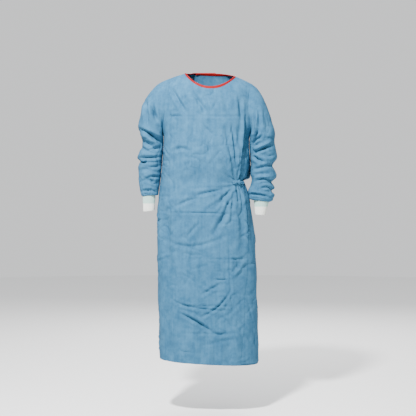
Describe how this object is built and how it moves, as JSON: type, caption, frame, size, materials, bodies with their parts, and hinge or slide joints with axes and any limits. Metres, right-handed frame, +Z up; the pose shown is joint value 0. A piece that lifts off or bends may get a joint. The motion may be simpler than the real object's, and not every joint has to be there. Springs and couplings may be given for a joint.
{
  "type": "surgical gown",
  "caption": "Long wraparound surgical gown filled out as worn, with long sleeves, ribbed knit cuffs, a round bound neck and a short tie knotted at the front of the left hip.",
  "frame": {"origin": "on the shoulder line beside the neck, where the gown is carried; the camera's centre line passes through it", "axes": "+Z up, -Y the way the front faces, +X the gown's own left side"},
  "size_m": [0.6526, 0.3165, 1.369],
  "materials": {
    "nonwoven_blue": "matte blue nonwoven with a faint sheen",
    "knit_mint_white": "matte off-white rib knit",
    "tape_red": "matte red binding tape"
  },
  "bodies": {
    "root": {"front_panel": "nonwoven_blue", "back_panel_outer": "nonwoven_blue", "back_panel_inner": "nonwoven_blue", "sleeve_left": "nonwoven_blue", "sleeve_right": "nonwoven_blue", "cuff_left": "knit_mint_white", "cuff_right": "knit_mint_white", "neck_binding": "tape_red", "waist_tie_outer": "nonwoven_blue", "waist_tie_front": "nonwoven_blue", "waist_knot": "nonwoven_blue"}
  },
  "joints": []
}
